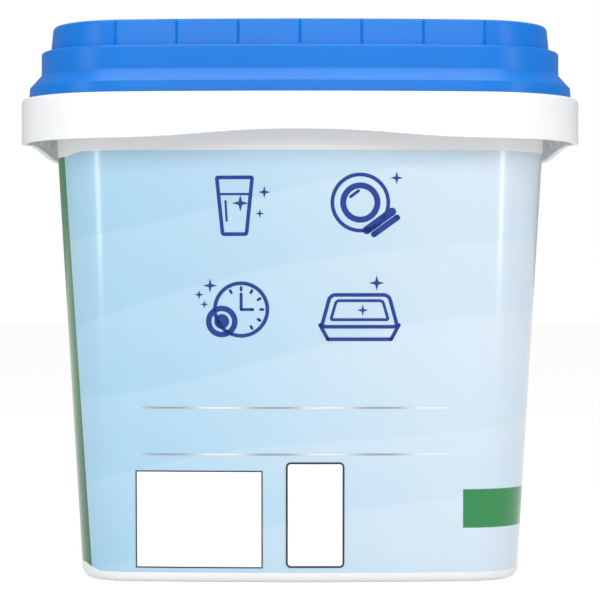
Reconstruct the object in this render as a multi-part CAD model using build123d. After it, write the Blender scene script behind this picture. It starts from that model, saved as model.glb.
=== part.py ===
"""Square tub for dishwasher tablets: a white moulded tub with a grip skirt and gussets,
a blue stepped press-on lid, and a printed film moulded into the tub's wall.

Millimetres, +Z up, origin at the centre of the foot. The four sides bow out slightly, so
every level of the tub and lid is one curve of the same family: four wide side arcs joined
by four corner arcs. A curve of the family is named by its half width at the middle of a side.
"""

from build123d import *
import math
import os

# overall plan, taken at the outside of the skirt
SKIRT_HALF = 91.5
SIDE_RADIUS = 520.0
CORNER_RADIUS = 37.0

# tub wall
WALL = 1.4
FLOOR = 1.8
FOOT_INSET = 19.5
BODY_HALF = SKIRT_HALF - FOOT_INSET
BODY_SLOPE = 0.06
FOOT_RADIUS = 3.2
FOOT_RING = 4.0
FOOT_RELIEF = 0.8
INSIDE_RADIUS = 4.0

# skirt, ledge and mouth collar
SKIRT_BOTTOM = 137.6
SKIRT_HEIGHT = 14.1
SKIRT_TOP = SKIRT_BOTTOM + SKIRT_HEIGHT
SKIRT_WALL = 1.8
SKIRT_ROUNDING = 1.3
LEDGE_SINK = 2.1
LEDGE_TOP = SKIRT_TOP - LEDGE_SINK
LEDGE = 1.5
CHANNEL = 6.3
COLLAR_HALF = SKIRT_HALF - SKIRT_WALL - CHANNEL
COLLAR_RISE = 8.2
COLLAR_TOP = LEDGE_TOP + COLLAR_RISE
ARCH_RISE = 2.6
ARCH_HALF_SPAN = 60.0

# gussets that brace the skirt from inside
GUSSETS = 7
GUSSET_PITCH = 17.0
GUSSET_WALL = 1.2
GUSSET_LIFT = 3.6
GUSSET_BOTTOM = SKIRT_BOTTOM + GUSSET_LIFT
GUSSET_FOOT = 1.9
GUSSET_SLOPE = 0.47

# printed film
FILM = 0.15
LABEL_CLEAR = 3.2
LABEL_TOP = SKIRT_BOTTOM - LABEL_CLEAR
LABEL_INSET = 5.7
LABEL_GAP = 1.2
END_PANEL_DROP = 1.3
END_PANEL_LIFT = 2.2
END_PANEL_RAMP = 6.0

# lid
LID_WALL = 1.3
RING_CLEARANCE = 0.5
SEAT_GAP = 0.3
RING_RISE = 3.5
SLOPE_RISE = 4.1
STEP_HEIGHT = 7.1
SHOULDER_RISE = 0.6
CROWN_HEIGHT = 7.8
RING_TOP = SKIRT_TOP + RING_RISE
STEP_BOTTOM = RING_TOP + SLOPE_RISE
STEP_TOP = STEP_BOTTOM + STEP_HEIGHT
CROWN_BOTTOM = STEP_TOP + SHOULDER_RISE
LID_HEIGHT = CROWN_BOTTOM + CROWN_HEIGHT
RING_TAPER = 0.3
STEP_WIDTH = 3.7
SHOULDER_WIDTH = 3.0
CROWN_TAPER = 0.8
CROWN_ROUNDING = 1.4
SHOULDER_ROUNDING = 0.9
PLUG_CLEARANCE = 0.6
PLUG_OVERLAP = 5.2
PLUG_BOTTOM = COLLAR_TOP - PLUG_OVERLAP
BEAD = 0.25
BEAD_HEIGHT = 2.0
NEST_DEPTH = 1.6
NEST_CLEARANCE = 1.5
NEST_EDGE = 1.6
FLUTES = 7
FLUTE_PITCH = 19.0
FLUTE_WIDTH = 1.1
FLUTE_DEPTH = 0.45

SIDES = 4
QUARTER = 90.0
REACH = 200.0


def side_centre():
    """Distance from the tub's axis to the centre of a side arc, on the far side of the axis."""
    return SIDE_RADIUS - SKIRT_HALF


def corner_centre():
    """Coordinate c of the corner arcs' centres (c, c), where they meet the side arcs smoothly."""
    away = side_centre()
    gap = SIDE_RADIUS - CORNER_RADIUS
    return (math.sqrt(2 * gap**2 - away**2) - away) / 2


def side_angle():
    """Half the angle of a side arc, in degrees."""
    c = corner_centre()
    return math.degrees(math.atan2(c, c + side_centre()))


def profile(*points):
    """A face in the XZ plane from (half width, height) points."""
    return make_face(Polyline([(x, 0, z) for x, z in points], close=True).edges())


def rounded(face, corners):
    """The face with some of its corners rounded: corners is a list of (x, z, radius)."""
    for x, z, radius in corners:
        corner = face.vertices().sort_by_distance(Vector(x, 0, z))[0]
        face = fillet(corner, radius)
    return face


def ring(face):
    """Carries a profile round the tub: four wide side arcs and four corner arcs."""
    turn = side_angle()
    side_axis = Axis((-side_centre(), 0, 0), (0, 0, 1))
    c = corner_centre()
    corner_axis = Axis((c, c, 0), (0, 0, 1))
    side = revolve(face.rotate(side_axis, -turn), axis=side_axis, revolution_arc=2 * turn)
    corner_face = face.rotate(side_axis, turn)
    corner = revolve(corner_face, axis=corner_axis, revolution_arc=QUARTER - 2 * turn)
    pieces = []
    for k in range(SIDES):
        pieces.append(side.rotate(Axis.Z, k * QUARTER))
        pieces.append(corner.rotate(Axis.Z, k * QUARTER))
    return pieces[0].fuse(*pieces[1:])


def plan(half):
    """The flat face inside one curve of the family."""
    c = corner_centre()
    radius = corner_radius(half)
    turn = math.radians(side_angle())
    low = (c + radius * math.cos(turn), -c - radius * math.sin(turn))
    high = (low[0], -low[1])
    corner_end = (high[1], high[0])
    diagonal = c + radius * math.sqrt(0.5)
    side = ThreePointArc(low, (half, 0), high)
    corner = ThreePointArc(high, (diagonal, diagonal), corner_end)
    edges = []
    for k in range(SIDES):
        edges.append(side.edge().rotate(Axis.Z, k * QUARTER))
        edges.append(corner.edge().rotate(Axis.Z, k * QUARTER))
    return make_face(edges)


def slab(half, bottom, top):
    """A flat plate between two heights, bounded by one curve of the family."""
    return extrude(Pos(0, 0, bottom) * plan(half), top - bottom)


def around(solid):
    """The solid and its copies on the other three sides."""
    return [solid.rotate(Axis.Z, k * QUARTER) for k in range(SIDES)]


def body_half(z):
    """Half width of the tub's outer wall at a height."""
    return BODY_HALF + BODY_SLOPE * z


def collar_inside():
    return COLLAR_HALF - WALL


def skirt_inside():
    return SKIRT_HALF - SKIRT_WALL


def corner_radius(half):
    """Corner radius of the curve with this half width."""
    return half + side_centre() - (SIDE_RADIUS - CORNER_RADIUS)


def side_x(half, at):
    """Where the curve with this half width lies on the +X side, at y = at."""
    arc = half + side_centre()
    c = corner_centre()
    if abs(at) <= arc * math.sin(math.radians(side_angle())):
        return math.sqrt(arc**2 - at**2) - side_centre()
    return c + math.sqrt(corner_radius(half) ** 2 - (abs(at) - c) ** 2)


def tub_section():
    """The tub's wall from the foot ring to the skirt and the collar, as one profile."""
    floor_half = BODY_HALF - FOOT_RADIUS - FOOT_RING
    ledge_bottom = LEDGE_TOP - LEDGE
    floor_top = FOOT_RELIEF + FLOOR
    inner = body_half(floor_top) - WALL
    face = profile(
        (floor_half - FOOT_RING, FOOT_RELIEF),
        (floor_half - FOOT_RELIEF, FOOT_RELIEF),
        (floor_half, 0),
        (BODY_HALF, 0),
        (body_half(ledge_bottom), ledge_bottom),
        (skirt_inside(), ledge_bottom),
        (skirt_inside(), SKIRT_BOTTOM),
        (SKIRT_HALF, SKIRT_BOTTOM),
        (SKIRT_HALF, SKIRT_TOP),
        (skirt_inside(), SKIRT_TOP),
        (skirt_inside(), LEDGE_TOP),
        (COLLAR_HALF, LEDGE_TOP),
        (COLLAR_HALF, COLLAR_TOP),
        (collar_inside(), COLLAR_TOP),
        (collar_inside(), LEDGE_TOP),
        (body_half(ledge_bottom) - WALL, ledge_bottom),
        (inner, floor_top),
        (floor_half - FOOT_RING, floor_top),
    )
    return rounded(
        face,
        [
            (BODY_HALF, 0, FOOT_RADIUS),
            (inner, floor_top, INSIDE_RADIUS),
            (SKIRT_HALF, SKIRT_TOP, SKIRT_ROUNDING),
            (COLLAR_HALF, COLLAR_TOP, WALL / 3),
            (collar_inside(), COLLAR_TOP, WALL / 3),
        ],
    )


def arch():
    """What the skirt's lower edge is cut back by on the +Y side: a rise made of four arcs."""
    quarter = ARCH_HALF_SPAN / 2
    half_rise = ARCH_RISE / 2
    out = side_x(skirt_inside(), ARCH_HALF_SPAN) - SKIRT_WALL
    left = (-ARCH_HALF_SPAN, 0, SKIRT_BOTTOM)
    left_turn = (-quarter, 0, SKIRT_BOTTOM + half_rise)
    crest = (0, 0, SKIRT_BOTTOM + ARCH_RISE)
    first = TangentArc(left, left_turn, tangent=(1, 0, 0))
    second = TangentArc(left_turn, crest, tangent=first % 1)
    curve = [first.edge(), second.edge()]
    curve += [edge.mirror(Plane.YZ) for edge in curve]
    below = SKIRT_BOTTOM - ARCH_RISE
    right = (ARCH_HALF_SPAN, 0, SKIRT_BOTTOM)
    close = Polyline(right, (right[0], 0, below), (left[0], 0, below), left)
    face = make_face(curve + list(close.edges()))
    return extrude(Pos(0, out, 0) * face, amount=REACH, dir=(0, 1, 0))


def gusset(at):
    """One rib between the ledge and the skirt's inside, on the +X side at y = at."""
    ledge_bottom = LEDGE_TOP - LEDGE
    skirt = side_x(skirt_inside(), at)
    outer = skirt + SKIRT_WALL / 2
    foot = skirt - GUSSET_FOOT
    inner = foot - GUSSET_SLOPE * (ledge_bottom - GUSSET_BOTTOM)
    top = ledge_bottom + LEDGE / 2
    face = profile(
        (outer, GUSSET_BOTTOM),
        (foot, GUSSET_BOTTOM),
        (inner, ledge_bottom),
        (inner, top),
        (outer, top),
    )
    rib = extrude(face, amount=GUSSET_WALL, dir=(0, 1, 0))
    return Pos(0, at - GUSSET_WALL / 2, 0) * rib


def row(count, pitch):
    """Places of a row that is centred on the middle of a side."""
    return [(i - (count - 1) / 2) * pitch for i in range(count)]


def make_tub(label):
    """White tub: body, foot ring, ledge, collar, skirt and gussets in one moulding."""
    tub = ring(tub_section())
    floor_half = BODY_HALF - FOOT_RADIUS - FOOT_RING
    tub = tub.fuse(slab(floor_half - FOOT_RING, FOOT_RELIEF, FOOT_RELIEF + FLOOR))
    tub = tub.cut(*around(arch()))
    ribs = []
    for at in row(GUSSETS, GUSSET_PITCH):
        ribs += around(gusset(at))
    tub = tub.fuse(*ribs)
    return tub.cut(label)


def end_panel_trim(edge, away, half):
    """Trims the film's edge on the +X and -X panels, with a ramp in each rounded corner.

    edge is the film's own edge height, away the signed height taken off on these panels.
    """
    start = corner_centre() + corner_radius(half) * math.sqrt(0.5) + END_PANEL_RAMP / 4
    stop = start - END_PANEL_RAMP
    beyond = edge - 2 * away
    face = make_face(
        Polyline(
            (0, -start, edge),
            (0, -stop, edge + away),
            (0, stop, edge + away),
            (0, start, edge),
            (0, start, beyond),
            (0, -start, beyond),
            close=True,
        ).edges()
    )
    inside = half - LABEL_INSET * 3
    trim = extrude(Pos(inside, 0, 0) * face, amount=REACH, dir=(1, 0, 0))
    return [trim, trim.rotate(Axis.Z, 2 * QUARTER)]


def make_label():
    """Printed film, flush with the tub's wall, with its two ends meeting at one corner."""
    low = FOOT_RADIUS
    film = ring(
        profile(
            (body_half(low), low),
            (body_half(LABEL_TOP), LABEL_TOP),
            (body_half(LABEL_TOP) - FILM, LABEL_TOP),
            (body_half(low) - FILM, low),
        )
    )
    trims = end_panel_trim(low, END_PANEL_LIFT, body_half(low))
    trims += end_panel_trim(LABEL_TOP, -END_PANEL_DROP, body_half(LABEL_TOP))
    inset_low = body_half(0) - LABEL_INSET
    inset_high = body_half(LABEL_TOP + LABEL_INSET) - LABEL_INSET
    slit = profile(
        (inset_low - LABEL_GAP, 0),
        (inset_low, 0),
        (inset_high, LABEL_TOP + LABEL_INSET),
        (inset_high - LABEL_GAP, LABEL_TOP + LABEL_INSET),
    )
    trims.append(extrude(Pos(0, corner_centre(), 0) * slit, amount=REACH, dir=(0, 1, 0)))
    return film.cut(*trims)


def ring_half():
    """Half width of the lid's base ring at the height of the skirt's top."""
    return skirt_inside() - RING_CLEARANCE


def crown_half():
    return ring_half() - RING_TAPER - STEP_WIDTH - SHOULDER_WIDTH


def nest_half():
    """Half width of the recess that the foot of a stacked tub stands in."""
    return BODY_HALF + NEST_CLEARANCE


def lid_section():
    """The lid's shell from the base ring over the step and the crown, with its plug ring."""
    seat = LEDGE_TOP + SEAT_GAP
    ring_out = ring_half()
    ring_high = ring_out - RING_TAPER
    step = ring_high - STEP_WIDTH
    crown = crown_half()
    crown_high = crown - CROWN_TAPER
    plug = collar_inside() - PLUG_CLEARANCE
    nest_top = LID_HEIGHT - NEST_DEPTH
    plate_bottom = nest_top - LID_WALL
    under = CROWN_BOTTOM - LID_WALL
    centre = nest_half() - NEST_EDGE - 2 * LID_WALL
    face = profile(
        (ring_out, seat),
        (ring_high, RING_TOP),
        (step, STEP_BOTTOM),
        (step, STEP_TOP),
        (crown, CROWN_BOTTOM),
        (crown_high, LID_HEIGHT),
        (nest_half(), LID_HEIGHT),
        (nest_half() - NEST_EDGE, nest_top),
        (centre, nest_top),
        (centre, plate_bottom),
        (nest_half() - NEST_EDGE / 2, plate_bottom),
        (nest_half() + NEST_EDGE / 2, LID_HEIGHT - LID_WALL),
        (crown_high - LID_WALL, LID_HEIGHT - LID_WALL),
        (plug - LID_WALL, under),
        (plug - LID_WALL, PLUG_BOTTOM),
        (plug - LID_WALL / 3, PLUG_BOTTOM),
        (plug, PLUG_BOTTOM + LID_WALL / 3),
        (plug, PLUG_BOTTOM + BEAD_HEIGHT),
        (plug + BEAD, PLUG_BOTTOM + BEAD_HEIGHT * 3 / 2),
        (plug, PLUG_BOTTOM + BEAD_HEIGHT * 2),
        (plug, under),
        (step - LID_WALL, STEP_TOP - LID_WALL),
        (step - LID_WALL, STEP_BOTTOM),
        (ring_high - LID_WALL, RING_TOP - LID_WALL / 3),
        (ring_out - LID_WALL, seat),
    )
    return rounded(
        face,
        [
            (crown_high, LID_HEIGHT, CROWN_ROUNDING),
            (step, STEP_TOP, SHOULDER_ROUNDING),
            (nest_half(), LID_HEIGHT, NEST_EDGE / 2),
        ],
    )


def flute(at):
    """One upright V groove in the crown's wall, on the +X side at y = at."""
    half_width = FLUTE_WIDTH / 2
    height = LID_HEIGHT - CROWN_BOTTOM
    face_x = side_x(crown_half(), at)
    face = make_face(
        Polyline(
            (face_x - FLUTE_DEPTH, at, CROWN_BOTTOM),
            (face_x, at + half_width, CROWN_BOTTOM),
            (face_x + FLUTE_WIDTH, at + half_width, CROWN_BOTTOM),
            (face_x + FLUTE_WIDTH, at - half_width, CROWN_BOTTOM),
            (face_x, at - half_width, CROWN_BOTTOM),
            close=True,
        ).edges()
    )
    wall = Vector(-CROWN_TAPER, 0, height)
    return extrude(face, amount=wall.length + LID_WALL, dir=wall)


def make_lid():
    """Blue lid: base ring, sloped step, crown, nesting recess and plug ring in one moulding."""
    lid = ring(lid_section())
    nest_top = LID_HEIGHT - NEST_DEPTH
    centre = nest_half() - NEST_EDGE - 2 * LID_WALL
    lid = lid.fuse(slab(centre, nest_top - LID_WALL, nest_top))
    grooves = []
    for at in row(FLUTES, FLUTE_PITCH):
        grooves += around(flute(at))
    return lid.cut(*grooves)


def main():
    os.makedirs("parts", exist_ok=True)
    label = make_label()
    nodes = {"tub": make_tub(label), "label": label, "lid": make_lid()}
    for name, shape in nodes.items():
        solids = shape.solids()
        solid = solids[0] if len(solids) == 1 else Compound(solids)
        export_step(solid, f"parts/{name}.step")
        size = shape.bounding_box().size
        print(name, len(solids), round(shape.volume), [round(v, 2) for v in size], shape.is_valid)


main()
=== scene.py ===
import math

import bpy
from bpy.props import FloatProperty, FloatVectorProperty, PointerProperty
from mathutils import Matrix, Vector


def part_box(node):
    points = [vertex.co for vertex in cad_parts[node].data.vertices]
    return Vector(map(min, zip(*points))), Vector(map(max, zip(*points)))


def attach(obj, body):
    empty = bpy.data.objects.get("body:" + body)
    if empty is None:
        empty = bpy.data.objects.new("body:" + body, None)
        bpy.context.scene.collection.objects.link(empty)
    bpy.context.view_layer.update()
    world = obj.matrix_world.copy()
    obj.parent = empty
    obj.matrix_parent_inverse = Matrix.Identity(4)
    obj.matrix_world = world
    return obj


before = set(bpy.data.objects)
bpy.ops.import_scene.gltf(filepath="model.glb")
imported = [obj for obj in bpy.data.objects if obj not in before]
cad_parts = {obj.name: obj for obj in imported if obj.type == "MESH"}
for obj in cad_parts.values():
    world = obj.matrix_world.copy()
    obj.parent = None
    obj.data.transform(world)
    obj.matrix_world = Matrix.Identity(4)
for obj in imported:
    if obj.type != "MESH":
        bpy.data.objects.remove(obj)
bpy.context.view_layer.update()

bl_info = {
    "name": "Tablet tub",
    "version": (1, 0, 0),
    "blender": (4, 5, 0),
    "location": "View3D > Sidebar > Tablet tub",
    "description": "Finishes, print and stage for a moulded tub with a press-on lid",
    "category": "Object",
}

TUB_LOW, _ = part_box("tub")
_, LID_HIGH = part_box("lid")
BODY_HALF = 0.072       # half width of the tub's wall, carried down to the floor
SOFT_EDGE = 0.0001      # half width of the soft edge between two printed colours
FACE_OUT = 0.02         # how far in front of the tub the print is laid out before it is wrapped on
LONGEST_EDGE = 0.003    # longest edge of the print before it is wrapped on
MOST_CUTS = 6           # times that the print's edges may be halved
CORNER_STEPS = 6        # segments of a rounded corner
FLOOR_SIZE = 12
TAU = 2 * math.pi

# The film's waves, from the top down: height at the middle, lean, swing, wavelength, shift, depth of tone.
WAVES = (
    (0.121, 0.14, 0.004, 0.21, 0.6, 0.60),
    (0.094, 0.22, 0.006, 0.26, 1.9, 0.55),
    (0.071, 0.10, 0.007, 0.24, 0.2, 0.60),
    (0.041, 0.20, 0.005, 0.22, 2.6, 0.55),
    (0.016, 0.16, 0.004, 0.25, 1.2, 0.60),
)

# The bare white panels: name, middle x and z, width, height, corner radius, frame line.
PANELS = (
    ("panel_wide", -0.0314, 0.0199, 0.0396, 0.0305, 0.0, 0.0004),
    ("panel_narrow", 0.0047, 0.0213, 0.0182, 0.0330, 0.0015, 0.0006),
)

# The lamps: name, place, width, height, power in watts.
LAMPS = (
    ("lamp_left", (-0.91, -0.615, 0.25), 0.12, 0.9, 2.6),
    ("lamp_right", (0.91, -0.615, 0.25), 0.12, 0.9, 2.6),
    ("lamp_front", (0.0, -1.5, 0.9), 1.4, 0.8, 12.8),
    ("lamp_top", (0.0, -0.1, 1.2), 1.0, 0.6, 7.0),
)


def colour_property(name, description, default):
    return FloatVectorProperty(
        name=name, description=description, default=default, subtype="COLOR", size=3, min=0, max=1
    )


def length_property(name, description, default):
    return FloatProperty(
        name=name, description=description, default=default, unit="LENGTH", subtype="DISTANCE"
    )


class TubFinish(bpy.types.PropertyGroup):
    """Colours of the mouldings and of the printed film."""

    white: colour_property("Tub white", "Moulded white of the tub", (0.87, 0.87, 0.875))
    blue: colour_property("Lid blue", "Moulded blue of the lid", (0.004, 0.185, 0.66))
    film_pale: colour_property("Film pale", "Palest blue of the film", (0.64, 0.73, 0.81))
    film_blue: colour_property("Film blue", "Deeper blue of the film", (0.30, 0.555, 0.73))
    green: colour_property("Green", "End panel and band", (0.0, 0.215, 0.045))
    # Dark green: the end panel's lower tone, and the painted shade line along the crease at the panel's
    # edge.
    green_dark_and_shade: colour_property("Dark green", "Edge of the end panel", (0.0, 0.12, 0.03))
    navy: colour_property("Navy", "Ink of the pictograms", (0.0, 0.03, 0.24))
    silver: colour_property("Silver", "Ink of the rules", (0.32, 0.34, 0.38))
    ink: colour_property("Dark ink", "Thin frames of the white panels", (0.02, 0.02, 0.025))


class TubPrint(bpy.types.PropertyGroup):
    """Sizes and places of the print on the side panel."""

    lift: length_property("Ink lift", "How far ink stands off the film", 0.00006)
    seam: length_property("Colour seam", "Side panel's edge from the end face", 0.00677)
    seam_lean: FloatProperty(
        name="Seam lean", description="How much the seam leans out with height", default=0.0665
    )
    band_low: length_property("Band bottom", "Bottom of the green band", 0.0171)
    band_high: length_property("Band top", "Top of the green band", 0.0292)
    band_start: length_property("Band start", "Where the green band starts", 0.0508)
    rule_width: length_property("Rule length", "Length of the silver rules", 0.0996)
    rule_height: length_property("Rule height", "Height of the silver rules", 0.0006)
    rule_low: length_property("Lower rule", "Height of the lower rule", 0.0402)
    rule_high: length_property("Upper rule", "Height of the upper rule", 0.0547)
    icon_line: length_property("Icon line", "Line width of the pictograms", 0.00115)


class TubStage(bpy.types.PropertyGroup):
    """Where the camera stands."""

    distance: length_property("Camera distance", "From the tub's axis", 0.800)
    height: length_property("Camera height", "Above the floor", 0.090)
    lens: FloatProperty(
        name="Lens", description="Focal length in millimetres", default=140.4, min=20, max=400
    )
    shift: FloatProperty(
        name="Shift", description="Vertical shift of the picture, in picture widths", default=-0.01
    )


# ---------------------------------------------------------------- material helpers


class Nodes:
    """Short names for building one node tree."""

    def __init__(self, name):
        self.material = bpy.data.materials.new(name)
        self.material.use_nodes = True
        self.tree = self.material.node_tree
        self.shader = self.tree.nodes["Principled BSDF"]
        self.place = self.add("ShaderNodeTexCoord").outputs["Object"]

    def add(self, kind, **values):
        node = self.tree.nodes.new(kind)
        for key, value in values.items():
            setattr(node, key, value)
        return node

    def feed(self, socket, value):
        if isinstance(value, bpy.types.NodeSocket):
            self.tree.links.new(value, socket)
        elif isinstance(value, (tuple, list)) and len(value) == 3 and socket.type == "RGBA":
            socket.default_value = (*value, 1)
        else:
            socket.default_value = value

    def math(self, operation, *values):
        node = self.add("ShaderNodeMath", operation=operation)
        for socket, value in zip(node.inputs, values):
            self.feed(socket, value)
        return node.outputs[0]

    def axes(self):
        split = self.add("ShaderNodeSeparateXYZ")
        self.feed(split.inputs[0], self.place)
        return split.outputs

    def ramp(self, value, low, high):
        """0 below low, 1 above high, smooth between."""
        node = self.add("ShaderNodeMapRange", interpolation_type="SMOOTHSTEP", clamp=True)
        for name, v in (("Value", value), ("From Min", low), ("From Max", high)):
            self.feed(node.inputs[name], v)
        return node.outputs["Result"]

    def step(self, value, edge, way=1):
        """0 below an edge and 1 above it, or the other way round where way is -1."""
        return self.ramp(value, edge - way * SOFT_EDGE, edge + way * SOFT_EDGE)

    def mix(self, factor, a, b):
        node = self.add("ShaderNodeMix", data_type="RGBA")
        self.feed(node.inputs["Factor"], factor)
        self.feed(node.inputs["A"], a)
        self.feed(node.inputs["B"], b)
        return node.outputs["Result"]

    def noise(self, scale, detail=2.0, stretch=(1, 1, 1)):
        mapping = self.add("ShaderNodeMapping")
        self.feed(mapping.inputs["Vector"], self.place)
        mapping.inputs["Scale"].default_value = stretch
        node = self.add("ShaderNodeTexNoise")
        self.feed(node.inputs["Vector"], mapping.outputs[0])
        node.inputs["Scale"].default_value = scale
        node.inputs["Detail"].default_value = detail
        return node.outputs["Fac"]

    def bump(self, height, strength, distance):
        node = self.add("ShaderNodeBump")
        self.feed(node.inputs["Height"], height)
        node.inputs["Strength"].default_value = strength
        node.inputs["Distance"].default_value = distance
        self.feed(self.shader.inputs["Normal"], node.outputs[0])


def moulded_plastic(name, colour, roughness, shade, gloss):
    """Moulded polypropylene: fine satin grain, faint flow marks and a slightly uneven tone."""
    n = Nodes(name)
    flow = n.noise(14, 3, (1, 1, 0.25))
    darker = tuple(c * shade for c in colour)
    n.feed(n.shader.inputs["Base Color"], n.mix(n.ramp(flow, 0.35, 0.65), darker, tuple(colour)))
    grain = n.noise(2600, 2)
    rough = n.math("MULTIPLY_ADD", grain, 0.08, roughness - 0.04)
    n.feed(n.shader.inputs["Roughness"], rough)
    n.bump(grain, 0.12, 0.00004)
    n.shader.inputs["Specular IOR Level"].default_value = gloss
    n.shader.inputs["Subsurface Weight"].default_value = 0.08
    n.shader.inputs["Subsurface Radius"].default_value = (0.002, 0.002, 0.002)
    n.shader.inputs["Subsurface Scale"].default_value = 1.0
    return n.material


def wave(n, x, z, base, slope, rise, length, shift):
    """Height of the point above one sweeping wave line, positive above it."""
    phase = n.math("MULTIPLY_ADD", x, TAU / length, shift)
    swing = n.math("MULTIPLY", n.math("SINE", phase), rise)
    line = n.math("ADD", n.math("MULTIPLY_ADD", x, slope, base), swing)
    return n.math("SUBTRACT", z, line)


def film_material(finish, layout):
    """Glossy printed film: pale blue waves on the sides, green end panel, green band."""
    n = Nodes("printed_film")
    x, y, z = n.axes()
    across = n.ramp(x, -0.085, 0.085)
    pale = n.mix(across, (0.38, 0.61, 0.77), tuple(finish.film_pale))
    deep = n.mix(across, tuple(finish.film_blue), (0.57, 0.69, 0.79))
    tone = pale
    for base, slope, rise, length, shift, depth in WAVES:
        above = wave(n, x, z, base, slope, rise, length, shift)
        crest = n.ramp(above, -3 * SOFT_EDGE, 3 * SOFT_EDGE)
        fade = n.ramp(above, 0.030, 0.0)
        weight = n.math("MULTIPLY", n.math("MULTIPLY", crest, fade), depth)
        tone = n.mix(weight, tone, deep)
    low_blue = n.ramp(z, 0.012, 0.0)
    tone = n.mix(n.math("MULTIPLY", low_blue, 0.25), tone, deep)
    band = n.math("MULTIPLY", n.step(z, layout.band_low), n.step(z, layout.band_high, -1))
    band = n.math("MULTIPLY", band, n.step(x, layout.band_start))
    tone = n.mix(band, tone, tuple(finish.green))
    edge = n.math("MULTIPLY_ADD", z, layout.seam_lean, BODY_HALF - layout.seam)
    beyond = n.math("SUBTRACT", n.math("MULTIPLY", x, -1.0), edge)
    end_panel = n.step(beyond, 0)
    # The end panel runs darker towards the bottom.
    panel = n.mix(n.ramp(z, 0.015, 0.13), tuple(finish.green_dark_and_shade), tuple(finish.green))
    # Painted shade: a dark green line along the crease where the end panel meets the side face, in place
    # of the crease's dark reflection.
    crease_shade = n.ramp(beyond, 0.0030, 0.0)
    panel = n.mix(n.math("MULTIPLY", crease_shade, 0.35), panel, tuple(finish.green_dark_and_shade))
    tone = n.mix(end_panel, tone, panel)
    n.feed(n.shader.inputs["Base Color"], tone)
    grain = n.noise(900, 2)
    n.feed(n.shader.inputs["Roughness"], n.math("MULTIPLY_ADD", grain, 0.06, 0.22))
    n.bump(n.noise(60, 2), 0.05, 0.0002)
    n.shader.inputs["Coat Weight"].default_value = 0.5
    n.shader.inputs["Coat Roughness"].default_value = 0.12
    return n.material


def ink_material(name, colour, roughness=0.3, highlight_tone=None):
    """Printed ink; the optional second tone is a painted highlight that sweeps along the ink's length."""
    n = Nodes(name)
    x, _, _ = n.axes()
    speckle = n.noise(1500, 2)
    other = highlight_tone or tuple(min(1, c * 1.12 + 0.003) for c in colour)
    if highlight_tone:
        # Painted highlight: the silver runs between its own tone and a paler one in bands along its
        # length, in place of reflections in metallic ink.
        highlight_sweep = n.math("SINE", n.math("MULTIPLY", x, TAU / 0.033))
        factor = n.ramp(highlight_sweep, -1.0, 1.0)
    else:
        factor = n.ramp(speckle, 0.4, 0.6)
    n.feed(n.shader.inputs["Base Color"], n.mix(factor, tuple(colour), other))
    n.feed(n.shader.inputs["Roughness"], n.math("MULTIPLY_ADD", speckle, 0.06, roughness))
    return n.material


# ---------------------------------------------------------------- modelling helpers


def deselect():
    if bpy.context.object and bpy.context.object.mode != "OBJECT":
        bpy.ops.object.mode_set(mode="OBJECT")
    bpy.ops.object.select_all(action="DESELECT")


def edit(obj):
    """Opens one object in edit mode with all of it selected."""
    deselect()
    obj.select_set(True)
    bpy.context.view_layer.objects.active = obj
    bpy.ops.object.mode_set(mode="EDIT")
    bpy.ops.mesh.select_all(action="SELECT")


def leave():
    bpy.ops.object.mode_set(mode="OBJECT")


def choose(obj, test):
    """Selects only the vertices that pass a test on their place."""
    bpy.ops.mesh.select_all(action="DESELECT")
    leave()
    for v in obj.data.vertices:
        v.select = test(v.co)
    bpy.ops.object.mode_set(mode="EDIT")
    bpy.ops.mesh.select_mode(type="VERT")


def settle(obj):
    """Applies the object's place, turn and size to its mesh."""
    deselect()
    obj.select_set(True)
    bpy.context.view_layer.objects.active = obj
    bpy.ops.object.transform_apply(location=True, rotation=True, scale=True)
    return obj


def hollow(obj, line):
    """Turns a filled flat shape into an outline of the given line width."""
    edit(obj)
    bpy.ops.mesh.inset(thickness=line, use_boundary=True, use_even_offset=True)
    bpy.ops.mesh.delete(type="FACE")
    leave()
    return obj


def disc(x, z, radius, steps=72):
    bpy.ops.mesh.primitive_circle_add(vertices=steps, radius=radius, fill_type="NGON",
                                      location=(x, z, 0))
    return settle(bpy.context.object)


def ring(x, z, radius, line):
    return hollow(disc(x, z, radius), line)


def block(x, z, width, height, turn=0.0):
    """A filled bar, x and z its middle."""
    bpy.ops.mesh.primitive_plane_add(size=1, location=(x, z, 0), rotation=(0, 0, turn))
    obj = bpy.context.object
    obj.scale = (width, height, 1)
    return settle(obj)


def rounded_block(x, z, width, height, rounding):
    """A filled bar with rounded corners, or square ones where rounding is 0."""
    obj = block(x, z, width, height)
    if rounding:
        edit(obj)
        bpy.ops.mesh.bevel(offset=rounding, segments=CORNER_STEPS, affect="VERTICES")
        leave()
    return obj


def line_between(a, b, line):
    """A bar with round ends from one point to another."""
    a, b = Vector(a), Vector(b)
    middle, along = (a + b) / 2, b - a
    bar = block(middle.x, middle.y, along.length, line, math.atan2(along.y, along.x))
    return join([bar, disc(a.x, a.y, line / 2, 24), disc(b.x, b.y, line / 2, 24)])


def sparkle(x, z, radius):
    """A four-pointed star with hollow sides."""
    obj = disc(0, 0, radius, 8)
    edit(obj)
    choose(obj, lambda co: abs(co.x) > radius * 0.3 and abs(co.y) > radius * 0.3)
    bpy.ops.transform.resize(value=(0.30, 0.30, 1), center_override=(0, 0, 0))
    leave()
    obj.location = (x, z, 0)
    return settle(obj)


def trapezium(x, z, bottom, top, height, rounding):
    """A filled shape with a narrow bottom, wide top and rounded corners."""
    obj = block(x, z, top, height)
    edit(obj)
    choose(obj, lambda co: co.y < z)
    bpy.ops.transform.resize(value=(bottom / top, 1, 1), center_override=(x, z, 0))
    bpy.ops.mesh.select_all(action="SELECT")
    bpy.ops.mesh.bevel(offset=rounding, segments=CORNER_STEPS, affect="VERTICES")
    leave()
    return obj


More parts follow.
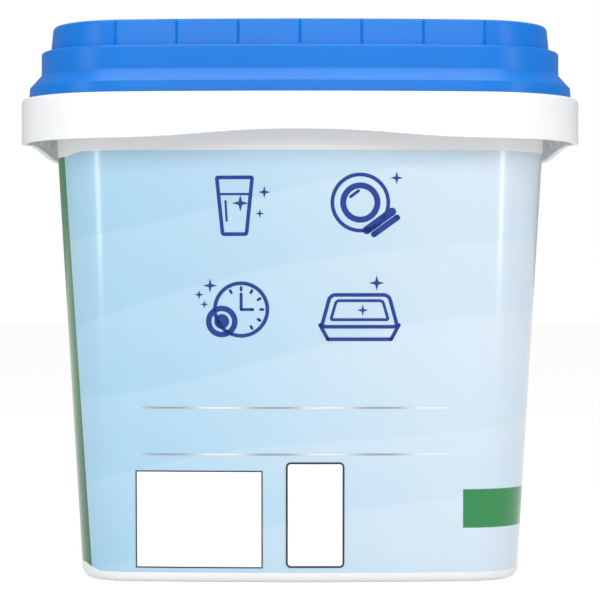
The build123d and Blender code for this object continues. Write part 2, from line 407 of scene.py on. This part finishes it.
def join(objects):
    deselect()
    for obj in objects:
        obj.select_set(True)
    bpy.context.view_layer.objects.active = objects[0]
    if len(objects) > 1:
        bpy.ops.object.join()
    return bpy.context.object


def pick_long_edges(obj):
    """Selects the edges that are longer than the print may have, and says whether there are any."""
    mesh = obj.data
    for items in (mesh.vertices, mesh.edges, mesh.polygons):
        for item in items:
            item.select = False
    found = False
    for edge in mesh.edges:
        a, b = (mesh.vertices[index].co for index in edge.vertices)
        if (a - b).length > LONGEST_EDGE:
            edge.select = True
            found = True
    return found


def refine(obj):
    """Halves long edges until the flat print is fine enough to follow the bowed film."""
    edit(obj)
    bpy.ops.mesh.quads_convert_to_tris()
    leave()
    for _ in range(MOST_CUTS):
        if not pick_long_edges(obj):
            return
        bpy.ops.object.mode_set(mode="EDIT")
        bpy.ops.mesh.select_mode(type="EDGE")
        bpy.ops.mesh.subdivide(number_cuts=1)
        bpy.ops.mesh.quads_convert_to_tris()
        leave()


def wrap_on(obj, name, material, lift):
    """Stands flat print up in front of the side panel and wraps it on to the film."""
    obj.name = name
    obj.rotation_euler = (math.pi / 2, 0, 0)
    obj.location = (0, TUB_LOW.y - FACE_OUT, 0)
    settle(obj)
    refine(obj)
    deselect()
    obj.select_set(True)
    bpy.context.view_layer.objects.active = obj
    shrink = obj.modifiers.new("wrap", "SHRINKWRAP")
    shrink.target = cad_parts["label"]
    shrink.wrap_method = "PROJECT"
    shrink.wrap_mode = "ABOVE_SURFACE"
    shrink.use_project_y = True
    shrink.use_positive_direction = True
    shrink.use_negative_direction = False
    shrink.offset = lift
    bpy.ops.object.modifier_apply(modifier=shrink.name)
    bpy.ops.object.shade_smooth()
    obj.data.materials.clear()
    obj.data.materials.append(material)
    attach(obj, "tub")
    return obj


def navy_ink():
    """The pictograms' ink, made once."""
    made = bpy.data.materials.get("navy_ink")
    return made or ink_material("navy_ink", bpy.context.scene.tub_finish.navy)


def cad_finish(node, material):
    """Gives a CAD node a new material."""
    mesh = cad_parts[node].data
    mesh.materials.clear()
    mesh.materials.append(material)


# ---------------------------------------------------------------- operators


class TUB_OT_mouldings(bpy.types.Operator):
    """Give the tub and the lid their moulded finish"""

    bl_idname = "tub.mouldings"
    bl_label = "Mouldings"

    def execute(self, context):
        finish = context.scene.tub_finish
        cad_finish("tub", moulded_plastic("white_polypropylene", finish.white, 0.34, 0.985, 0.45))
        cad_finish("lid", moulded_plastic("blue_polypropylene", finish.blue, 0.36, 0.93, 0.28))
        return {"FINISHED"}


class TUB_OT_film(bpy.types.Operator):
    """Give the film its waves, end panel and band"""

    bl_idname = "tub.film"
    bl_label = "Printed film"

    def execute(self, context):
        cad_finish("label", film_material(context.scene.tub_finish, context.scene.tub_print))
        return {"FINISHED"}


class TUB_OT_rules(bpy.types.Operator):
    """Print the two silver rules"""

    bl_idname = "tub.rules"
    bl_label = "Silver rules"

    def execute(self, context):
        layout = context.scene.tub_print
        finish = context.scene.tub_finish
        # The rules' paler second tone is a painted highlight.
        silver = ink_material("silver_ink", finish.silver, 0.28, (0.78, 0.80, 0.83))
        for name, z in (("rule_upper", layout.rule_high), ("rule_lower", layout.rule_low)):
            bar = block(-0.0014, z, layout.rule_width, layout.rule_height)
            wrap_on(bar, name, silver, layout.lift)
        return {"FINISHED"}


class TUB_OT_panels(bpy.types.Operator):
    """Print the two bare white panels with their thin frames"""

    bl_idname = "tub.panels"
    bl_label = "White panels"

    def execute(self, context):
        layout = context.scene.tub_print
        finish = context.scene.tub_finish
        white = ink_material("white_ink", (0.93, 0.93, 0.935))
        ink = ink_material("frame_ink", finish.ink)
        for name, x, z, width, height, rounding, line in PANELS:
            field = rounded_block(x, z, width, height, rounding)
            outline = rounded_block(x, z, width, height, rounding)
            wrap_on(field, name, white, layout.lift)
            wrap_on(hollow(outline, line), name + "_frame", ink, 2 * layout.lift)
        return {"FINISHED"}


class TUB_OT_glass_icon(bpy.types.Operator):
    """Print the tumbler pictogram"""

    bl_idname = "tub.glass_icon"
    bl_label = "Tumbler pictogram"

    def execute(self, context):
        layout = context.scene.tub_print
        line = layout.icon_line
        x, z = -0.0202, 0.1172
        parts = [
            hollow(trapezium(x, z, 0.0084, 0.0122, 0.0186, 0.0010), line),
            block(x, z + 0.0036, 0.0098, line * 0.6),
            block(x - 0.0026, z - 0.0016, line * 0.6, 0.0066, 0.06),
            sparkle(x + 0.0018, z + 0.0008, 0.0026),
            sparkle(x + 0.0092, z + 0.0042, 0.0019),
            sparkle(x + 0.0078, z - 0.0024, 0.0014),
        ]
        wrap_on(join(parts), "icon_glass", navy_ink(), layout.lift)
        return {"FINISHED"}


class TUB_OT_plate_icon(bpy.types.Operator):
    """Print the plate pictogram"""

    bl_idname = "tub.plate_icon"
    bl_label = "Plate pictogram"

    def execute(self, context):
        layout = context.scene.tub_print
        line = layout.icon_line
        x, z = 0.0186, 0.1182
        parts = [
            ring(x, z, 0.0092, line),
            ring(x, z, 0.0062, line * 1.6),
            line_between((x + 0.0020, z - 0.0085), (x + 0.0098, z - 0.0028), line * 2.2),
            line_between((x + 0.0042, z - 0.0098), (x + 0.0114, z - 0.0046), line * 1.6),
            line_between((x - 0.0030, z + 0.0018), (x - 0.0006, z + 0.0036), line * 0.8),
            sparkle(x + 0.0112, z + 0.0076, 0.0020),
        ]
        wrap_on(join(parts), "icon_plate", navy_ink(), layout.lift)
        return {"FINISHED"}


class TUB_OT_clock_icon(bpy.types.Operator):
    """Print the clock pictogram"""

    bl_idname = "tub.clock_icon"
    bl_label = "Clock pictogram"

    def execute(self, context):
        layout = context.scene.tub_print
        line = layout.icon_line
        x, z = -0.0182, 0.0852
        parts = [ring(x, z, 0.0087, line)]
        for hour in range(-1, 6):
            angle = hour * TAU / 12
            reach = Vector((math.sin(angle), math.cos(angle)))
            parts.append(line_between(Vector((x, z)) + reach * 0.0060,
                                      Vector((x, z)) + reach * 0.0068, line * 0.7))
        parts += [
            line_between((x, z), (x, z + 0.0048), line * 0.8),
            line_between((x, z), (x + 0.0036, z), line * 0.8),
            ring(x - 0.0060, z - 0.0037, 0.0049, line * 1.5),
            disc(x - 0.0060, z - 0.0037, 0.0023),
            sparkle(x - 0.0096, z + 0.0074, 0.0022),
            sparkle(x - 0.0130, z + 0.0046, 0.0015),
            sparkle(x - 0.0114, z + 0.0016, 0.0013),
        ]
        wrap_on(join(parts), "icon_clock", navy_ink(), layout.lift)
        return {"FINISHED"}


class TUB_OT_tray_icon(bpy.types.Operator):
    """Print the baking tray pictogram"""

    bl_idname = "tub.tray_icon"
    bl_label = "Tray pictogram"

    def execute(self, context):
        layout = context.scene.tub_print
        line = layout.icon_line
        x, z = 0.0184, 0.0838
        outer = trapezium(x, z + 0.0010, 0.0250, 0.0190, 0.0110, 0.0020)
        inner = trapezium(x, z + 0.0012, 0.0190, 0.0150, 0.0068, 0.0012)
        parts = [
            hollow(outer, line),
            hollow(inner, line * 0.8),
            line_between((x - 0.0122, z - 0.0034), (x - 0.0098, z - 0.0078), line),
            line_between((x + 0.0122, z - 0.0034), (x + 0.0098, z - 0.0078), line),
            line_between((x - 0.0098, z - 0.0078), (x + 0.0098, z - 0.0078), line),
            sparkle(x + 0.0053, z + 0.0096, 0.0024),
            sparkle(x + 0.0010, z + 0.0012, 0.0018),
        ]
        wrap_on(join(parts), "icon_tray", navy_ink(), layout.lift)
        return {"FINISHED"}


def floor_material():
    """Pale floor that shows white to the camera and still keeps the tub's shadow."""
    n = Nodes("pale_floor")
    tree = n.tree
    mottle = n.noise(3, 2)
    n.feed(n.shader.inputs["Base Color"], n.mix(mottle, (0.90, 0.90, 0.90), (0.93, 0.93, 0.93)))
    n.shader.inputs["Roughness"].default_value = 0.9
    n.shader.inputs["Specular IOR Level"].default_value = 0.1
    glow = n.add("ShaderNodeEmission")
    glow.inputs["Color"].default_value = (1, 1, 1, 1)
    glow.inputs["Strength"].default_value = 1.05
    path = n.add("ShaderNodeLightPath")
    seen = n.math("MAXIMUM", path.outputs["Is Camera Ray"],
                  n.math("MAXIMUM", path.outputs["Is Glossy Ray"], path.outputs["Is Transmission Ray"]))
    blend = n.add("ShaderNodeMixShader")
    n.feed(blend.inputs[0], n.math("MULTIPLY", seen, 0.9))
    tree.links.new(n.shader.outputs[0], blend.inputs[1])
    tree.links.new(glow.outputs[0], blend.inputs[2])
    tree.links.new(blend.outputs[0], tree.nodes["Material Output"].inputs[0])
    return n.material


def white_world(scene):
    """Soft grey light from all round, white where it is seen straight on or mirrored."""
    world = bpy.data.worlds.new("studio")
    world.use_nodes = True
    tree = world.node_tree
    light = tree.nodes["Background"]
    light.inputs["Color"].default_value = (0.97, 0.985, 1.0, 1)
    light.inputs["Strength"].default_value = 0.31
    seen = tree.nodes.new("ShaderNodeBackground")
    seen.inputs["Color"].default_value = (1, 1, 1, 1)
    seen.inputs["Strength"].default_value = 1.0
    path = tree.nodes.new("ShaderNodeLightPath")
    blend = tree.nodes.new("ShaderNodeMixShader")
    tree.links.new(path.outputs["Is Camera Ray"], blend.inputs[0])
    tree.links.new(light.outputs[0], blend.inputs[1])
    tree.links.new(seen.outputs[0], blend.inputs[2])
    tree.links.new(blend.outputs[0], tree.nodes["World Output"].inputs[0])
    scene.world = world


def soft_lamp(name, place, target, width, height, power):
    bpy.ops.object.light_add(type="AREA", location=place)
    lamp = bpy.context.object
    lamp.name = name
    lamp.data.shape = "RECTANGLE"
    lamp.data.size = width
    lamp.data.size_y = height
    lamp.data.energy = power
    aim = Vector(target) - Vector(place)
    lamp.rotation_euler = aim.to_track_quat("-Z", "Y").to_euler()


class TUB_OT_stage(bpy.types.Operator):
    """Set the floor, the lamps, the world and the camera"""

    bl_idname = "tub.stage"
    bl_label = "Stage"

    def execute(self, context):
        deselect()
        scene = context.scene
        stage = scene.tub_stage
        scene.view_settings.view_transform = "Standard"
        bpy.ops.mesh.primitive_plane_add(size=FLOOR_SIZE, location=(0, 0, 0))
        floor = context.object
        floor.name = "floor"
        floor.data.materials.append(floor_material())
        white_world(scene)
        middle = (0, 0, LID_HIGH.z / 2)
        for name, place, width, height, power in LAMPS:
            soft_lamp(name, place, middle, width, height, power)
        bpy.ops.object.camera_add(location=(0, -stage.distance, stage.height),
                                  rotation=(math.pi / 2, 0, 0))
        camera = context.object
        camera.name = "camera"
        camera.data.lens = stage.lens
        camera.data.sensor_width = 36
        camera.data.shift_y = stage.shift
        scene.camera = camera
        return {"FINISHED"}


STEPS = (
    TUB_OT_stage,
    TUB_OT_mouldings,
    TUB_OT_film,
    TUB_OT_rules,
    TUB_OT_panels,
    TUB_OT_glass_icon,
    TUB_OT_plate_icon,
    TUB_OT_clock_icon,
    TUB_OT_tray_icon,
)


class TUB_PT_panel(bpy.types.Panel):
    """Buttons and settings of the tablet tub"""

    bl_idname = "TUB_PT_panel"
    bl_label = "Tablet tub"
    bl_space_type = "VIEW_3D"
    bl_region_type = "UI"
    bl_category = "Tablet tub"

    def draw(self, context):
        for step in STEPS:
            self.layout.operator(step.bl_idname)
        for group in (context.scene.tub_finish, context.scene.tub_print, context.scene.tub_stage):
            box = self.layout.box()
            for name in group.bl_rna.properties.keys():
                if name not in ("name", "rna_type"):
                    box.prop(group, name)


GROUPS = {"tub_finish": TubFinish, "tub_print": TubPrint, "tub_stage": TubStage}
CLASSES = (*GROUPS.values(), *STEPS, TUB_PT_panel)


def register():
    for cls in CLASSES:
        bpy.utils.register_class(cls)
    for name, group in GROUPS.items():
        setattr(bpy.types.Scene, name, PointerProperty(type=group))


def unregister():
    for name in GROUPS:
        delattr(bpy.types.Scene, name)
    for cls in reversed(CLASSES):
        bpy.utils.unregister_class(cls)


def main():
    register()
    deselect()
    bpy.ops.tub.stage()
    bpy.ops.tub.mouldings()
    bpy.ops.tub.film()
    bpy.ops.tub.rules()
    bpy.ops.tub.panels()
    bpy.ops.tub.glass_icon()
    bpy.ops.tub.plate_icon()
    bpy.ops.tub.clock_icon()
    bpy.ops.tub.tray_icon()


if __name__ == "__main__":
    main()
